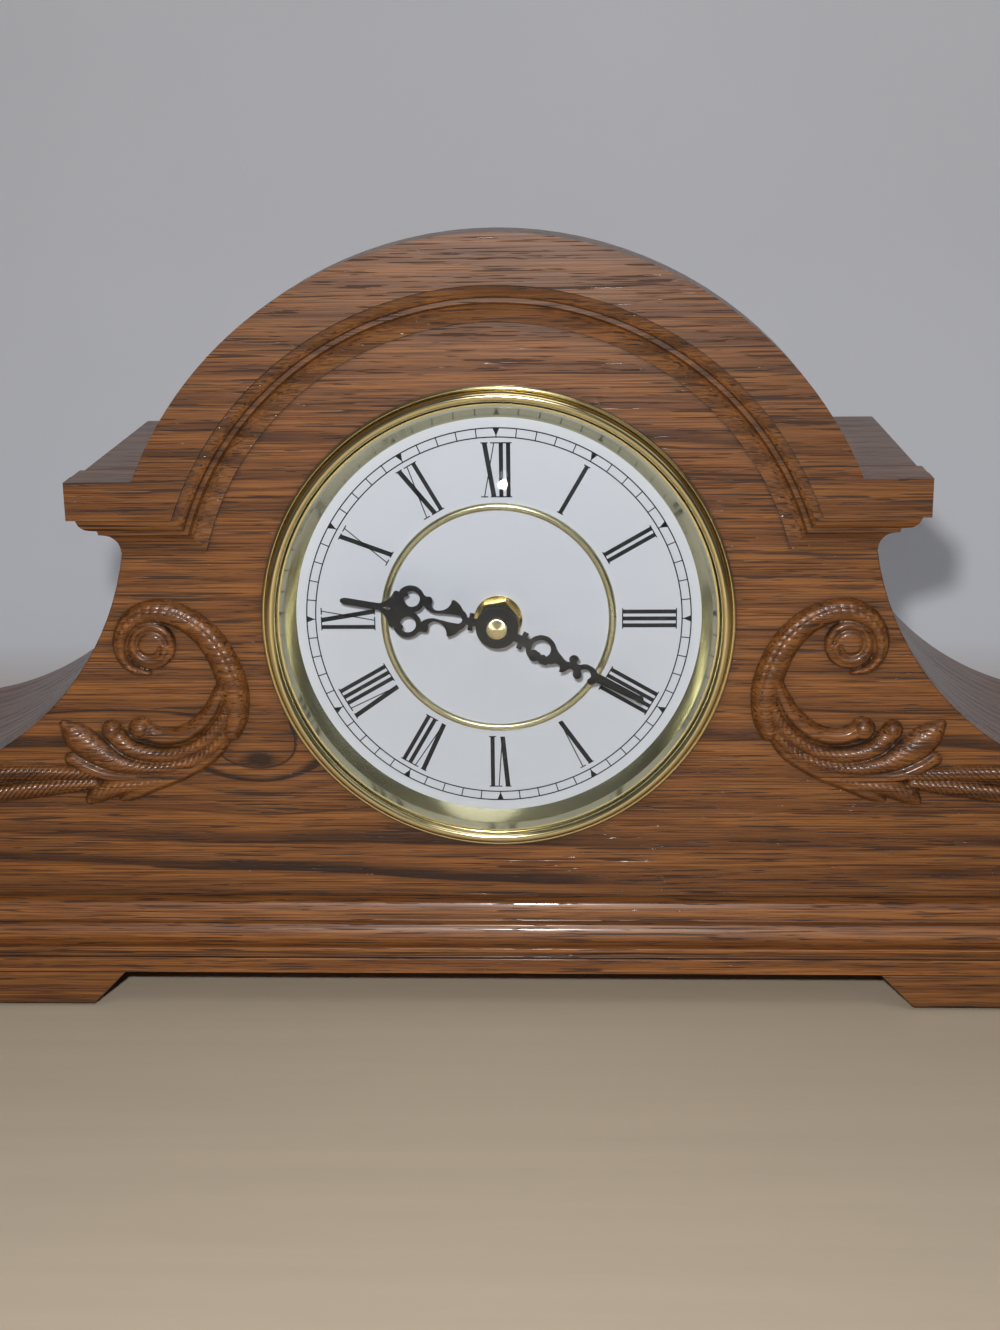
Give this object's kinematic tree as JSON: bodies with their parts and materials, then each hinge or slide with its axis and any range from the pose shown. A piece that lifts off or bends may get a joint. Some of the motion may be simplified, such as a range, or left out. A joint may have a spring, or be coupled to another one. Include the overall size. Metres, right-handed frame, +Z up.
{
  "type": "mantel clock",
  "caption": "Mantel clock with a round arch, concave scroll sides, carved scrolls, a moulded base, a brass bezel with domed glass, a Roman dial and a hinged back door.",
  "frame": {"origin": "under the middle of the clock, on the surface it stands on", "axes": "+X to the right as seen from the front, +Y to the back, +Z up; the dial faces -Y"},
  "size_m": [0.474, 0.1284, 0.2595],
  "materials": {
    "lacquered_oak": "glossy lacquer",
    "plain_board": "thin satin lacquer",
    "pine_cleat": "bare",
    "brown_felt": "felt",
    "polished_brass": "polished",
    "brass_fitting": "satin",
    "clear_glass": "clear",
    "dial_white": "satin",
    "black_hands": "satin",
    "plated_steel": "bright zinc",
    "black_plastic": "matt",
    "white_plastic": "moulded",
    "rotor_magnet": "ground",
    "copper_wire": "enamelled wire",
    "green_board": "solder mask",
    "black_rubber": "matt",
    "battery_wrap": "plain wrap"
  },
  "bodies": {
    "case": {"front_panel": "lacquered_oak", "arched_hood": "lacquered_oak", "ledge_board": "lacquered_oak", "cornice_right": "lacquered_oak", "cornice_left": "lacquered_oak", "curved_side_right": "lacquered_oak", "curved_side_left": "lacquered_oak", "end_board_right": "lacquered_oak", "end_board_left": "lacquered_oak", "base_moulding_front": "lacquered_oak", "base_moulding_right": "lacquered_oak", "base_moulding_left": "lacquered_oak", "foot_front_right": "lacquered_oak", "foot_front_left": "lacquered_oak", "foot_back_right": "lacquered_oak", "foot_back_left": "lacquered_oak", "scroll_carving_right": "lacquered_oak", "scroll_carving_left": "lacquered_oak", "bottom_board": "plain_board", "back_panel": "plain_board", "back_cleats": "pine_cleat", "foot_pads": "brown_felt", "bezel": "polished_brass", "brass_washer": "polished_brass", "dial_ring": "polished_brass", "hex_nut": "brass_fitting", "threaded_bushing": "brass_fitting", "hinge_leaves_case": "brass_fitting", "hinge_pins": "brass_fitting", "glass": "clear_glass", "dial_plate": "dial_white", "back_screws": "plated_steel", "battery_contacts": "plated_steel", "stator": "plated_steel", "movement_case": "black_plastic", "movement_cover": "black_plastic", "magnetic_catch": "black_plastic", "centre_wheel": "white_plastic", "third_wheel": "white_plastic", "seconds_wheel": "white_plastic", "rotor": "rotor_magnet", "coil": "copper_wire", "circuit_board": "green_board", "rubber_washer": "black_rubber", "battery": "battery_wrap"},
    "minute_work": {"minute_hand": "black_hands", "hand_nut": "polished_brass", "minute_arbor": "brass_fitting"},
    "hour_work": {"hour_hand": "black_hands", "hour_wheel": "white_plastic"},
    "motion_work": {"motion_wheel": "white_plastic", "setting_knob": "black_plastic"},
    "door": {"back_door": "plain_board", "hinge_leaves_door": "brass_fitting", "door_knob": "brass_fitting", "door_strike": "plated_steel"}
  },
  "joints": [
    {"name": "minute_turning", "type": "hinge", "parent": "case", "child": "minute_work", "pos_m": [0, -0.04, 0.1325], "axis": [0, 1, 0], "continuous": true},
    {"name": "hour_turning", "type": "hinge", "parent": "case", "child": "hour_work", "pos_m": [0, -0.04, 0.1325], "axis": [0, 1, 0], "continuous": true},
    {"name": "motion_wheel_turning", "type": "hinge", "parent": "case", "child": "motion_work", "pos_m": [0, -0.03, 0.1421], "axis": [0, 1, 0], "continuous": true},
    {"name": "door_hinge", "type": "hinge", "parent": "case", "child": "door", "pos_m": [0.0497, 0.05945, 0.1105], "axis": [0, 0, -1], "range_deg": [0, 110]}
  ],
  "couplings": [
    {"joint": "hour_turning", "follows": "minute_turning", "ratio": 0.083333},
    {"joint": "motion_wheel_turning", "follows": "minute_turning", "ratio": -0.33333}
  ]
}
